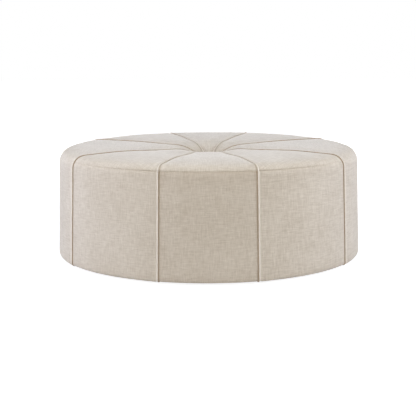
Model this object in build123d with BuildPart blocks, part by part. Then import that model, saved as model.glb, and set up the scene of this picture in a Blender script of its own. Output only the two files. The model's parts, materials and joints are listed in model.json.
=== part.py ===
from build123d import *
from math import acos, asin, atan2, cos, degrees, radians, sin, sqrt
import os

# Oval upholstered ottoman: millimetres, +X along its length, -Y is the front, the floor is z = 0.

# Overall size
length = 1219.0
depth = 864.0
height = 440.0

# Outer form: the wall leans in a little, rolls over at the top edge and falls into the central tuft
wall_lean = 17.0
edge_radius = 40.0
crown_rise = 3.0
hem_bend_radius = 10.0
top_seam_drop = 26.0
tuft_reach = 165.0
throat_radius = 24.5
tuft_slope = 42.0
tuft_hole_radius = 13.0

# Radial seams, as polar angles from the front or back direction
inner_seam_angle = 24.0
outer_seam_angle = 67.3

# Cover
cover_thickness = 1.5
hem_lap = 22.0
welt_width = 6.0
welt_proud = 2.5
welt_ridge_shares = (0.2, 0.8, 1.0, 0.8, 0.2)
sewing_gap = 0.2
soft_gap = 0.3
sections_per_panel = 5
sections_per_half = 17

# Soft layers under the cover
wadding_thickness = 8.0
side_foam_thickness = 12.0

# Frame
board_thickness = 3.0
board_joint_gap = 1.0
rail_width = 60.0
rail_thickness = 18.0
rail_joint_gap = 0.4
post_width = 40.0
front_post_x = 260.0
deck_thickness = 15.0
top_foam_thickness = 99.0
stretcher_width = 20.0
stretcher_height = 60.0
stretcher_offset = 100.0
wood_gap = 0.1
board_gap = 0.2

# Screws
screw_radius = 2.0
screw_head_radius = 4.0
screw_head_height = 2.4
frame_screw_length = 50.0
stretcher_screw_length = 70.0
screw_clearance = 0.1
screw_spread = 11.0
stretcher_screw_spread = 15.0

# Staples
staple_crown = 10.0
staple_wire = 0.6
staple_leg_width = 1.2
staple_leg_length = 8.0
staple_clearance = 0.1
staples_per_panel = 6
dust_staples = 24
board_staples_per_row = 24
hem_staple_margin = 14.0
dust_staple_margin = 5.0
lay_gap = 0.1

# Dust cover and glides
dust_cover_thickness = 0.8
dust_cover_lap = 7.0
glide_height = 6.3
glide_radius = 15.0
glide_chamfer = 2.0
glide_angles = (0, 55, 125, 180, 235, 305)
nail_radius = 1.3
nail_length = 20.0
nail_head_radius = 3.5
nail_head_height = 1.2
nail_sink = 2.0

# Covered button, its twine and the toggle that the twine pulls against
button_radius = 19.0
button_rise = 7.0
button_cloth_thickness = 1.2
button_shell_thickness = 0.8
button_back_thickness = 1.2
eye_wire_radius = 0.75
eye_radius = 3.5
eye_drop = 3.5
twine_radius = 0.8
toggle_radius = 4.0
toggle_length = 50.0
twine_hole_clearance = 1.2

overrun = 5.0

# Heights and insets that follow from the sizes above
half_length = length / 2
half_depth = depth / 2
skin_top = height - welt_proud
roll_height = skin_top - edge_radius - crown_rise
top_seam_height = skin_top - top_seam_drop
shoulder_radius = (tuft_reach - throat_radius) / sin(radians(tuft_slope))
dust_bottom = glide_height + lay_gap
hem_bottom = dust_bottom + dust_cover_thickness + lay_gap + staple_wire + lay_gap
frame_bottom = hem_bottom + cover_thickness + soft_gap
rail_top = frame_bottom + rail_thickness
wadding_inset = cover_thickness + soft_gap
foam_inset = wadding_inset + wadding_thickness + soft_gap
foam_bottom = skin_top - foam_inset - top_foam_thickness
deck_top = foam_bottom - soft_gap
deck_bottom = deck_top - deck_thickness
wadding_bottom = hem_bottom + hem_bend_radius
board_inset = wall_lean + foam_inset + side_foam_thickness + soft_gap
frame_inset = board_inset + board_thickness + board_gap
hem_width = frame_inset + hem_lap
dust_cover_inset = frame_inset - dust_cover_lap
twine_bend = toggle_radius + lay_gap + twine_radius
twine_hole_radius = twine_bend + twine_radius + twine_hole_clearance

# Polar angle of each seam, counterclockwise from +X, and the panel that starts at it
seam_angles = [
    -90 + inner_seam_angle,
    -90 + outer_seam_angle,
    90 - outer_seam_angle,
    90 - inner_seam_angle,
    90 + inner_seam_angle,
    90 + outer_seam_angle,
    270 - outer_seam_angle,
    270 - inner_seam_angle,
]
panel_names = ["front_right", "right", "back_right", "back", "back_left", "left", "front_left", "front"]
seam_names = [
    "front_inner_right",
    "front_outer_right",
    "back_outer_right",
    "back_inner_right",
    "back_inner_left",
    "back_outer_left",
    "front_outer_left",
    "front_inner_left",
]

os.makedirs("parts", exist_ok=True)


def save(piece, name):
    """Labels a finished piece and writes its file."""
    piece.part.label = name
    export_step(piece.part, "parts/" + name + ".step")


def cut_plane(angle, shift=0):
    """An upright plane along the polar angle, moved sideways from the centre by shift."""
    outward = Vector(1, 0, 0).rotate(Axis.Z, angle)
    return Plane(origin=(0, 0, 0), x_dir=outward, z_dir=outward.cross(Vector(0, 0, 1))).offset(-shift)


def reach_to_oval(inset, angle, shift):
    """Distance along a cut plane to the oval that lies inside the overall one by inset."""
    a = half_length - inset
    b = half_depth - inset
    c = cos(radians(angle))
    s = sin(radians(angle))
    square = (c / a) ** 2 + (s / b) ** 2
    cross = shift * c * s * (1 / b**2 - 1 / a**2)
    rest = (shift * s / a) ** 2 + (shift * c / b) ** 2 - 1
    return (sqrt(cross**2 - square * rest) - cross) / square


def reach_to_circle(radius, shift):
    """Distance along a cut plane to an upright round surface about the centre."""
    return sqrt(radius**2 - shift**2)


def on_arc(centre, radius, angle):
    """The point of a circle at an angle in degrees."""
    return (centre[0] + radius * cos(radians(angle)), centre[1] + radius * sin(radians(angle)))


class Outline:
    """The upholstered outline in one cut plane, set in from the cover's outer face by inset."""

    def __init__(self, angle, shift, inset):
        self.bend_radius = hem_bend_radius - inset
        self.roll_radius = edge_radius - inset
        low_reach = reach_to_oval(inset, angle, shift)
        high_reach = reach_to_oval(inset + wall_lean, angle, shift)
        self.bend_centre = (low_reach - self.bend_radius, hem_bottom + hem_bend_radius)
        self.roll_centre = (high_reach - self.roll_radius, roll_height)
        # The straight wall is tangent to the bend at the hem and to the roll at the top edge
        run = self.roll_centre[0] - self.bend_centre[0]
        climb = self.roll_centre[1] - self.bend_centre[1]
        span = sqrt(run**2 + climb**2)
        self.wall_angle = degrees(
            atan2(climb, run) - acos((self.bend_radius - self.roll_radius) / span)
        )
        self.wall_low = on_arc(self.bend_centre, self.bend_radius, self.wall_angle)
        self.wall_high = on_arc(self.roll_centre, self.roll_radius, self.wall_angle)
        # The crown is a wide arc, tangent to the roll and level above the tuft's shoulder
        peak = reach_to_circle(tuft_reach, shift)
        reach = self.roll_centre[0] - peak
        self.crown_radius = (
            reach**2 + (self.roll_radius + crown_rise) ** 2 - self.roll_radius**2
        ) / (2 * crown_rise)
        self.crown_centre = (peak, skin_top - inset - self.crown_radius)
        self.crown_angle = degrees(
            atan2(self.roll_centre[1] - self.crown_centre[1], self.roll_centre[0] - self.crown_centre[0])
        )
        self.shoulder_radius = shoulder_radius - inset
        self.shoulder_centre = (peak, skin_top - shoulder_radius)
        self.throat_top = on_arc(self.shoulder_centre, self.shoulder_radius, 90 + tuft_slope)

    def seam_angle(self, level):
        """Where the roll reaches a height."""
        return degrees(asin((level - roll_height) / self.roll_radius))

    def seam_point(self, level):
        return on_arc(self.roll_centre, self.roll_radius, self.seam_angle(level))

    def wall_point(self, level):
        """The point of the straight wall, or of its line carried on, at a height."""
        share = (level - self.wall_low[1]) / (self.wall_high[1] - self.wall_low[1])
        return (self.wall_low[0] + share * (self.wall_high[0] - self.wall_low[0]), level)

    def throat_point(self, reach):
        """The point of the tuft's sloping throat at a distance from the centre."""
        fall = (self.throat_top[0] - reach) * sin(radians(tuft_slope)) / cos(radians(tuft_slope))
        return (reach, self.throat_top[1] - fall)

    def hem_point(self, reach):
        return (reach, self.bend_centre[1] - self.bend_radius)

    def draw_top(self, start_angle, throat_reach):
        """Roll from start_angle, crown, shoulder and throat."""
        CenterArc(self.roll_centre, self.roll_radius, start_angle, self.crown_angle - start_angle)
        CenterArc(self.crown_centre, self.crown_radius, self.crown_angle, 90 - self.crown_angle)
        CenterArc(self.shoulder_centre, self.shoulder_radius, 90, tuft_slope)
        Line(self.throat_top, self.throat_point(throat_reach))

    def draw_side(self, hem_reach, end_angle):
        """Hem turned under, bend, wall and the roll up to end_angle."""
        Line(self.hem_point(hem_reach), self.hem_point(self.bend_centre[0]))
        CenterArc(self.bend_centre, self.bend_radius, -90, 90 + self.wall_angle)
        Line(self.wall_low, self.wall_high)
        CenterArc(self.roll_centre, self.roll_radius, self.wall_angle, end_angle - self.wall_angle)

    def draw_high_wall_and_top(self, level, throat_reach):
        """Upper wall from a height, whole roll, crown, shoulder and throat."""
        Line(self.wall_point(level), self.wall_high)
        self.draw_top(self.wall_angle, throat_reach)


def fan(start, end, edge_shift, count):
    """Cut planes that fan out from start to end, with the first and last moved in by edge_shift."""
    half = (end - start) / 2
    middle = (end + start) / 2
    apex = edge_shift / sin(radians(half))
    steps = [start + (end - start) * i / (count - 1) for i in range(count)]
    return [(angle, apex * sin(radians(middle - angle))) for angle in steps]


def top_panel(start, end):
    """One wedge of the top cover, from the plain seam to the tuft."""
    level = top_seam_height + sewing_gap / 2
    with BuildPart() as panel:
        for angle, shift in fan(start, end, welt_width / 2 + sewing_gap, sections_per_panel):
            outer = Outline(angle, shift, 0)
            inner = Outline(angle, shift, cover_thickness)
            hole = reach_to_circle(tuft_hole_radius, shift)
            with BuildSketch(cut_plane(angle, shift)):
                with BuildLine():
                    outer.draw_top(outer.seam_angle(level), hole)
                    Line(outer.throat_point(hole), inner.throat_point(hole))
                    inner.draw_top(inner.seam_angle(level), hole)
                    Line(inner.seam_point(level), outer.seam_point(level))
                make_face()
        loft()
    return panel


def side_panel(start, end):
    """One side panel, from the plain seam down the wall and under the base."""
    level = top_seam_height - sewing_gap / 2
    with BuildPart() as panel:
        for angle, shift in fan(start, end, welt_width / 2 + sewing_gap, sections_per_panel):
            outer = Outline(angle, shift, 0)
            inner = Outline(angle, shift, cover_thickness)
            hem = reach_to_oval(hem_width, angle, shift)
            with BuildSketch(cut_plane(angle, shift)):
                with BuildLine():
                    outer.draw_side(hem, outer.seam_angle(level))
                    Line(outer.seam_point(level), inner.seam_point(level))
                    inner.draw_side(hem, inner.seam_angle(level))
                    Line(inner.hem_point(hem), outer.hem_point(hem))
                make_face()
        loft()
    return panel


def welt(angle):
    """A raised ridge along one seam, from the tuft over the edge to the dust cover."""
    count = len(welt_ridge_shares)
    with BuildPart() as ridge:
        for i, ridge_share in enumerate(welt_ridge_shares):
            shift = welt_width * (i / (count - 1) - 1 / 2)
            outer = Outline(angle, shift, -welt_proud * ridge_share)
            inner = Outline(angle, shift, cover_thickness)
            hole = reach_to_circle(tuft_hole_radius, shift)
            hem = reach_to_oval(dust_cover_inset - soft_gap, angle, shift)
            with BuildSketch(cut_plane(angle, shift)):
                with BuildLine():
                    outer.draw_side(hem, outer.seam_angle(top_seam_height))
                    outer.draw_top(outer.seam_angle(top_seam_height), hole)
                    Line(outer.throat_point(hole), inner.throat_point(hole))
                    inner.draw_top(inner.seam_angle(top_seam_height), hole)
                    inner.draw_side(hem, inner.seam_angle(top_seam_height))
                    Line(inner.hem_point(hem), outer.hem_point(hem))
                make_face()
        loft()
    return ridge


def on_oval(inset, angle):
    """A place on an inner oval at a polar angle, turned so that its local X runs along the oval."""
    reach = reach_to_oval(inset, angle, 0)
    x = reach * cos(radians(angle))
    y = reach * sin(radians(angle))
    across = atan2(y / (half_depth - inset) ** 2, x / (half_length - inset) ** 2)
    return Location((x, y, 0), (0, 0, degrees(across) + 90))


LOW = (Align.CENTER, Align.CENTER, Align.MIN)
HIGH = (Align.CENTER, Align.CENTER, Align.MAX)


def drive_screws(places, screw_length, clearance=0, mode=Mode.ADD):
    """Countersunk screws, or the holes for them, with the head's face at each place."""
    with Locations(*places):
        Cylinder(screw_radius + clearance, screw_length + clearance, align=HIGH, mode=mode)
        Cone(
            screw_radius + clearance,
            screw_head_radius + clearance,
            screw_head_height + clearance,
            align=HIGH,
            mode=mode,
        )


def staple_legs(places, level):
    """The places of both legs of each staple, at a height."""
    reach = (staple_crown - staple_wire) / 2
    return [place * Location((side * reach, 0, level)) for place in places for side in (-1, 1)]


def drive_staples(places, level):
    """Staples with the crown's upper face at level and the legs pointing up."""
    with Locations(*[place * Location((0, 0, level)) for place in places]):
        Box(staple_crown, staple_leg_width, staple_wire, align=HIGH)
    with Locations(*staple_legs(places, level)):
        Box(staple_wire, staple_leg_width, staple_leg_length, align=LOW)


def cut_staple_slots(places, level):
    """Slots for the staples' legs, through whatever lies above level."""
    slot_thickness = staple_wire + 2 * staple_clearance
    slot_width = staple_leg_width + 2 * staple_clearance
    slot_depth = staple_leg_length + staple_clearance
    with Locations(*staple_legs(places, level)):
        Box(slot_thickness, slot_width, slot_depth, align=LOW, mode=Mode.SUBTRACT)


def cut_board_staples():
    """Slots for the wall boards' staples, and the grooves that their crowns lie flush in."""
    cut_staple_slots(board_staple_places, 0)
    groove_width = staple_leg_width + 2 * staple_clearance
    groove_depth = staple_wire + staple_clearance
    with Locations(*board_staple_places):
        Box(staple_crown + 2 * staple_clearance, groove_width, 2 * groove_depth, mode=Mode.SUBTRACT)


def hem_staple_places(start, end):
    """The staples of one side panel's hem."""
    step = (end - start) / staples_per_panel
    inset = frame_inset + hem_staple_margin
    return [on_oval(inset, start + step * (i + 1 / 2)) for i in range(staples_per_panel)]


def even_oval_places(inset, count):
    """Places all round an inner oval, at even polar angles."""
    return [on_oval(inset, 360 * (i + 1 / 2) / count) for i in range(count)]


dust_staple_places = even_oval_places(frame_inset + dust_staple_margin, dust_staples)
dust_staple_level = dust_bottom - lay_gap
hem_staple_level = hem_bottom - lay_gap
board_staple_levels = (frame_bottom + rail_thickness / 2, deck_top - deck_thickness / 2)
board_staple_places = [
    place * Location((0, 0, level), (-90, 0, 0))
    for place in even_oval_places(board_inset, board_staples_per_row)
    for level in board_staple_levels
]
glide_places = [
    Location(
        (
            (half_length - frame_inset - rail_width / 2) * cos(radians(angle)),
            (half_depth - frame_inset - rail_width / 2) * sin(radians(angle)),
            0,
        )
    )
    for angle in glide_angles
]

# Cover panels and welts
all_hem_staple_places = []
for i, (panel_name, seam_name) in enumerate(zip(panel_names, seam_names)):
    panel_start = seam_angles[i]
    panel_end = seam_angles[(i + 1) % len(seam_angles)]
    if panel_end < panel_start:
        panel_end += 360
    save(top_panel(panel_start, panel_end), "cover_top_" + panel_name)
    hem_places = hem_staple_places(panel_start, panel_end)
    all_hem_staple_places += hem_places
    with BuildPart() as cover_side:
        add(side_panel(panel_start, panel_end).part)
        cut_staple_slots(hem_places + dust_staple_places, dust_staple_level)
    save(cover_side, "cover_side_" + panel_name)
    save(welt(panel_start), "welt_" + seam_name)

# Wadding: one dimpled sheet over the top and two strips round the sides
with BuildPart() as top_wadding:
    for step in range(sections_per_half):
        angle = 180 * step / (sections_per_half - 1)
        outer = Outline(angle, 0, wadding_inset)
        inner = Outline(angle, 0, wadding_inset + wadding_thickness)
        with BuildSketch(cut_plane(angle)):
            with BuildLine():
                outer.draw_high_wall_and_top(foam_bottom, tuft_hole_radius)
                Line(outer.throat_point(tuft_hole_radius), inner.throat_point(tuft_hole_radius))
                inner.draw_high_wall_and_top(foam_bottom, tuft_hole_radius)
                Line(inner.wall_point(foam_bottom), outer.wall_point(foam_bottom))
            make_face()
    loft()
    mirror(about=Plane.XZ)
save(top_wadding, "top_wadding")

halves = {"front": (-180, 0), "back": (0, 180)}
for half_name, (half_start, half_end) in halves.items():
    with BuildPart() as side_wadding:
        for angle, shift in fan(half_start, half_end, board_joint_gap / 2, sections_per_half):
            outer = Outline(angle, shift, wadding_inset)
            inner = Outline(angle, shift, wadding_inset + wadding_thickness)
            with BuildSketch(cut_plane(angle, shift)):
                with BuildLine():
                    Polyline(
                        outer.wall_point(wadding_bottom),
                        outer.wall_point(deck_top),
                        inner.wall_point(deck_top),
                        inner.wall_point(wadding_bottom),
                        close=True,
                    )
                make_face()
        loft()
    save(side_wadding, "side_wadding_" + half_name)

    with BuildPart() as side_foam:
        for angle, shift in fan(half_start, half_end, board_joint_gap / 2, sections_per_half):
            outer = Outline(angle, shift, foam_inset)
            inner_reach = reach_to_oval(board_inset - soft_gap, angle, shift)
            with BuildSketch(cut_plane(angle, shift)):
                with BuildLine():
                    Polyline(
                        outer.wall_point(frame_bottom),
                        outer.wall_point(deck_top),
                        (inner_reach, deck_top),
                        (inner_reach, frame_bottom),
                        close=True,
                    )
                make_face()
        loft()
    save(side_foam, "side_foam_" + half_name)

# Top foam: one block with the tuft pulled into it
with BuildPart() as top_foam:
    for step in range(sections_per_half):
        angle = 180 * step / (sections_per_half - 1)
        outer = Outline(angle, 0, foam_inset)
        with BuildSketch(cut_plane(angle)):
            with BuildLine():
                outer.draw_high_wall_and_top(foam_bottom, twine_hole_radius)
                Line(outer.throat_point(twine_hole_radius), (twine_hole_radius, foam_bottom))
                Line((twine_hole_radius, foam_bottom), outer.wall_point(foam_bottom))
            make_face()
    loft()
    mirror(about=Plane.XZ)
save(top_foam, "top_foam")


def oval_ring(outer_inset, inner_inset):
    """A flat oval ring between two insets."""
    Ellipse(half_length - outer_inset, half_depth - outer_inset)
    Ellipse(half_length - inner_inset, half_depth - inner_inset, mode=Mode.SUBTRACT)


# Wall boards: thin bent skins round the frame, front and back
for half_name, side in (("front", Align.MAX), ("back", Align.MIN)):
    with BuildPart() as wall_board:
        with BuildSketch(Plane.XY.offset(frame_bottom)):
            oval_ring(board_inset, board_inset + board_thickness)
            Rectangle(length, depth, align=(Align.CENTER, side), mode=Mode.INTERSECT)
            Rectangle(length, board_joint_gap, mode=Mode.SUBTRACT)
        extrude(amount=deck_top - frame_bottom)
        cut_board_staples()
    save(wall_board, "wall_board_" + half_name)

# Posts: two at each end, in line with the stretchers, and two at the front and at the back
frame_half_length = half_length - frame_inset
frame_half_depth = half_depth - frame_inset
half_post = post_width / 2
end_share = sqrt(1 - ((stretcher_offset + half_post) / frame_half_depth) ** 2)
front_share = sqrt(1 - ((front_post_x + half_post) / frame_half_length) ** 2)
end_post_x = frame_half_length * end_share - half_post
front_post_y = frame_half_depth * front_share - half_post
post_places = {
    "right_front": (end_post_x, -stretcher_offset),
    "right_back": (end_post_x, stretcher_offset),
    "back_right": (front_post_x, front_post_y),
    "back_left": (-front_post_x, front_post_y),
    "left_back": (-end_post_x, stretcher_offset),
    "left_front": (-end_post_x, -stretcher_offset),
    "front_left": (-front_post_x, -front_post_y),
    "front_right": (front_post_x, -front_post_y),
}
deck_screw_places = []
rail_screw_places = []
for x, y in post_places.values():
    at_end = abs(x) > front_post_x
    for spread in (-screw_spread, screw_spread):
        place = (x, y + spread) if at_end else (x + spread, y)
        deck_screw_places.append(Location((*place, deck_top - wood_gap)))
        rail_screw_places.append(Location((*place, frame_bottom + wood_gap), (180, 0, 0)))

stretcher_level = deck_bottom - wood_gap - stretcher_height / 2
stretcher_screw_places = []
for end in (-1, 1):
    for y in (-stretcher_offset, stretcher_offset):
        for rise in (-stretcher_screw_spread, stretcher_screw_spread):
            head_x = end * (end_post_x + half_post - wood_gap)
            stretcher_screw_places.append(Location((head_x, y, stretcher_level + rise), (0, 90 * end, 0)))


def cut_frame_screws():
    """Holes for every screw of the frame."""
    frame_places = deck_screw_places + rail_screw_places
    drive_screws(frame_places, frame_screw_length, screw_clearance, Mode.SUBTRACT)
    drive_screws(stretcher_screw_places, stretcher_screw_length, screw_clearance, Mode.SUBTRACT)


for post_name, (x, y) in post_places.items():
    with BuildPart() as post:
        with BuildSketch(Plane.XY.offset(rail_top + wood_gap)):
            with Locations((x, y)):
                Rectangle(post_width, post_width)
        extrude(amount=deck_bottom - rail_top - 2 * wood_gap)
        cut_frame_screws()
    save(post, "post_" + post_name)

# Base ring: four curved rails that meet under the front and back posts
rail_spans = {
    "front": ((0, -half_depth), 2 * front_post_x - rail_joint_gap, depth),
    "back": ((0, half_depth), 2 * front_post_x - rail_joint_gap, depth),
    "right": ((front_post_x + rail_joint_gap / 2 + half_length, 0), length, depth),
    "left": ((-front_post_x - rail_joint_gap / 2 - half_length, 0), length, depth),
}
for rail_name, (middle, span_x, span_y) in rail_spans.items():
    with BuildPart() as rail:
        with BuildSketch(Plane.XY.offset(frame_bottom)):
            oval_ring(frame_inset, frame_inset + rail_width)
            with Locations(middle):
                Rectangle(span_x, span_y, mode=Mode.INTERSECT)
        extrude(amount=rail_thickness)
        drive_screws(rail_screw_places, frame_screw_length, screw_clearance, Mode.SUBTRACT)
        cut_staple_slots(all_hem_staple_places, hem_staple_level)
        cut_staple_slots(dust_staple_places, dust_staple_level)
        cut_board_staples()
        nail_top = nail_sink + nail_length + wood_gap
        with Locations(*glide_places):
            Cylinder(nail_radius + wood_gap, nail_top, align=LOW, mode=Mode.SUBTRACT)
    save(rail, "base_rail_" + rail_name)

# Deck with a hole for the tuft's twine
with BuildPart() as deck_board:
    with BuildSketch(Plane.XY.offset(deck_bottom)):
        Ellipse(frame_half_length, frame_half_depth)
        Circle(twine_hole_radius, mode=Mode.SUBTRACT)
    extrude(amount=deck_thickness)
    drive_screws(deck_screw_places, frame_screw_length, screw_clearance, Mode.SUBTRACT)
    cut_board_staples()
save(deck_board, "deck_board")

# Stretchers under the deck, between the end posts
for stretcher_name, y in (("front", -stretcher_offset), ("back", stretcher_offset)):
    with BuildPart() as stretcher:
        with BuildSketch(Plane.XY.offset(stretcher_level - stretcher_height / 2)):
            with Locations((0, y)):
                Rectangle(2 * (end_post_x - half_post - wood_gap), stretcher_width)
        extrude(amount=stretcher_height)
        drive_screws(stretcher_screw_places, stretcher_screw_length, screw_clearance, Mode.SUBTRACT)
    save(stretcher, "deck_stretcher_" + stretcher_name)

# Fasteners
with BuildPart() as frame_screws:
    drive_screws(deck_screw_places + rail_screw_places, frame_screw_length)
save(frame_screws, "frame_screws")

with BuildPart() as stretcher_screws:
    drive_screws(stretcher_screw_places, stretcher_screw_length)
save(stretcher_screws, "stretcher_screws")

with BuildPart() as cover_staples:
    drive_staples(all_hem_staple_places, hem_staple_level)
save(cover_staples, "cover_staples")

with BuildPart() as board_staples:
    drive_staples(board_staple_places, staple_wire)
save(board_staples, "board_staples")

with BuildPart() as dust_cover_staples:
    drive_staples(dust_staple_places, dust_staple_level)
save(dust_cover_staples, "dust_cover_staples")

# Dust cover over the open base, and the glides nailed through it
with BuildPart() as dust_cover:
    with BuildSketch(Plane.XY.offset(dust_bottom)):
        Ellipse(half_length - dust_cover_inset, half_depth - dust_cover_inset)
        with Locations(*glide_places):
            Circle(nail_radius + wood_gap, mode=Mode.SUBTRACT)
    extrude(amount=dust_cover_thickness)
    cut_staple_slots(dust_staple_places, dust_staple_level)
save(dust_cover, "dust_cover")

with BuildPart() as glides:
    with Locations(*glide_places):
        Cone(glide_radius - glide_chamfer, glide_radius, glide_chamfer, align=LOW)
    with Locations(*[Location((0, 0, glide_chamfer)) * place for place in glide_places]):
        Cylinder(glide_radius, glide_height - glide_chamfer, align=LOW)
    with Locations(*glide_places):
        Cylinder(nail_radius + wood_gap, glide_height + overrun, align=LOW, mode=Mode.SUBTRACT)
        Cylinder(
            nail_head_radius + wood_gap,
            nail_sink + nail_head_height + wood_gap,
            align=LOW,
            mode=Mode.SUBTRACT,
        )
save(glides, "glides")

with BuildPart() as glide_nails:
    with Locations(*[Location((0, 0, nail_sink)) * place for place in glide_places]):
        Cylinder(nail_head_radius, nail_head_height, align=LOW)
        Cylinder(nail_radius, nail_length, align=LOW)
save(glide_nails, "glide_nails")

# Covered button: it sits on the welts where they meet in the tuft
dome_radius = (button_radius**2 + button_rise**2) / (2 * button_rise)
button_level = Outline(0, 0, -welt_proud).throat_point(button_radius)[1] + soft_gap
dome_centre = (0, button_level + button_rise - dome_radius)


def dome_rim(inset, level):
    """Half width of the dome at a height, set in from the cloth's face."""
    return sqrt((dome_radius - inset) ** 2 - (level - dome_centre[1]) ** 2)


def dome_shell(outer_inset, inner_inset):
    """A domed skin between two insets, open below."""
    with BuildPart() as shell:
        with BuildSketch(Plane.XZ):
            with BuildLine():
                for inset in (outer_inset, inner_inset):
                    radius = dome_radius - inset
                    start = degrees(asin((button_level - dome_centre[1]) / radius))
                    CenterArc(dome_centre, radius, start, 90 - start)
                Line(
                    (dome_rim(outer_inset, button_level), button_level),
                    (dome_rim(inner_inset, button_level), button_level),
                )
                Line(
                    (0, dome_centre[1] + dome_radius - outer_inset),
                    (0, dome_centre[1] + dome_radius - inner_inset),
                )
            make_face()
        revolve(axis=Axis.Z)
    return shell


shell_inset = button_cloth_thickness + lay_gap
back_inset = shell_inset + button_shell_thickness + lay_gap
save(dome_shell(0, button_cloth_thickness), "button_cover")
save(dome_shell(shell_inset, shell_inset + button_shell_thickness), "button_shell")

eye_centre_height = button_level - eye_drop
with BuildPart() as button_back:
    with BuildSketch(Plane.XY.offset(button_level)):
        Circle(dome_rim(back_inset, button_level + button_back_thickness))
    extrude(amount=button_back_thickness)
    with BuildLine(Plane.YZ):
        Line((eye_radius, button_level + button_back_thickness / 2), (eye_radius, eye_centre_height))
        CenterArc((0, eye_centre_height), eye_radius, 0, -180)
        Line((-eye_radius, eye_centre_height), (-eye_radius, button_level + button_back_thickness / 2))
    with BuildSketch(Plane.XY.offset(button_level + button_back_thickness / 2)):
        with Locations((0, eye_radius)):
            Circle(eye_wire_radius)
    sweep()
save(button_back, "button_back")

# Tufting twine: a tied loop through the button's eye, the foam and the deck, round the toggle
toggle_level = deck_bottom - lay_gap - toggle_radius
eye_wire_top = eye_centre_height - eye_radius + eye_wire_radius
twine_top_level = eye_wire_top + lay_gap + twine_radius - twine_bend
with BuildPart() as tufting_twine:
    with BuildLine(Plane.XZ):
        Line((twine_bend, toggle_level), (twine_bend, twine_top_level))
        CenterArc((0, twine_top_level), twine_bend, 0, 180)
        Line((-twine_bend, twine_top_level), (-twine_bend, toggle_level))
        CenterArc((0, toggle_level), twine_bend, 180, 180)
    with BuildSketch(Plane.XY.offset(toggle_level)):
        with Locations((twine_bend, 0)):
            Circle(twine_radius)
    sweep()
save(tufting_twine, "tufting_twine")

with BuildPart() as twine_toggle:
    with BuildSketch(Plane.XZ):
        with Locations((0, toggle_level)):
            Circle(toggle_radius)
    extrude(amount=toggle_length / 2, both=True)
save(twine_toggle, "twine_toggle")

twine_length = 2 * (twine_top_level - toggle_level) + radians(360) * twine_bend
print("twine length", round(twine_length, 1), "volume over section times length",
      round(tufting_twine.part.volume / (radians(180) * twine_radius**2 * twine_length), 4))
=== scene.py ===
import json
import math
from types import SimpleNamespace

import bpy
import numpy as np
from mathutils import Matrix, Vector, noise


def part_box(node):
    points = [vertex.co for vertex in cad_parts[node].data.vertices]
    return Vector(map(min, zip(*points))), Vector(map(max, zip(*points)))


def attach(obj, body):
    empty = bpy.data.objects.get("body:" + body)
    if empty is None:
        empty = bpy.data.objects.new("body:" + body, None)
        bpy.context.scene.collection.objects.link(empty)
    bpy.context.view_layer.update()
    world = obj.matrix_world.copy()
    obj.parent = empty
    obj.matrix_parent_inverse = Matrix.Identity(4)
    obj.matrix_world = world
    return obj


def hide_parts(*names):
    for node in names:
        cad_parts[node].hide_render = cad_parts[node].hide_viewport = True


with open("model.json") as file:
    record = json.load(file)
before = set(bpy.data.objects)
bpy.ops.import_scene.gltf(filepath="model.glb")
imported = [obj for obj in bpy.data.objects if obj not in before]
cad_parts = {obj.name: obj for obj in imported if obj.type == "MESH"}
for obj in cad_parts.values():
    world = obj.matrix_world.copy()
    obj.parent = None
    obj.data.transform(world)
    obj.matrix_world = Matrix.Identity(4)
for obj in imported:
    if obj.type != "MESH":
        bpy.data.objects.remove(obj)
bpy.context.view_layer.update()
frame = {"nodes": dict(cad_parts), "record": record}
MM = 0.001

# Sizes in millimetres and angles in degrees, repeated from the part's source
LENGTH, DEPTH, HEIGHT = 1219.0, 864.0, 440.0
WALL_LEAN, EDGE_RADIUS, CROWN_RISE, BEND_RADIUS = 17.0, 40.0, 3.0, 10.0
SEAM_DROP, TUFT_REACH, THROAT_RADIUS, TUFT_SLOPE, HOLE_RADIUS = 26.0, 165.0, 24.5, 42.0, 13.0
INNER_SEAM, OUTER_SEAM = 24.0, 67.3
WELT_WIDTH, WELT_PROUD, SEWING_GAP, SOFT_GAP = 6.0, 2.5, 0.2, 0.3
CLOTH, WADDING, SIDE_FOAM, BOARD = 1.5, 8.0, 12.0, 3.0
TOP_FOAM, TWINE_HOLE = 99.0, 6.9
HEM_BOTTOM = 8.0
FRAME_BOTTOM = HEM_BOTTOM + CLOTH + SOFT_GAP
SKIN_TOP = HEIGHT - WELT_PROUD
ROLL_HEIGHT = SKIN_TOP - EDGE_RADIUS - CROWN_RISE
SEAM_HEIGHT = SKIN_TOP - SEAM_DROP
SLOPE = math.radians(TUFT_SLOPE)
SHOULDER_RADIUS = (TUFT_REACH - THROAT_RADIUS) / math.sin(SLOPE)
WADDING_INSET = CLOTH + SOFT_GAP
FOAM_INSET = WADDING_INSET + WADDING + SOFT_GAP
FOAM_BOTTOM = SKIN_TOP - FOAM_INSET - TOP_FOAM
DECK_TOP = FOAM_BOTTOM - SOFT_GAP
BOARD_INSET = WALL_LEAN + FOAM_INSET + SIDE_FOAM + SOFT_GAP
FRAME_INSET = BOARD_INSET + BOARD + 0.2
HEM_WIDTH = FRAME_INSET + 22.0
DUST_INSET = FRAME_INSET - 7.0
# The padding fills the long sides' top edge and rounds the ends' more:
# this much less and this much more edge radius than in the source
FULLER_SIDES, ROUNDER_ENDS = 13.0, 9.0

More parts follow.
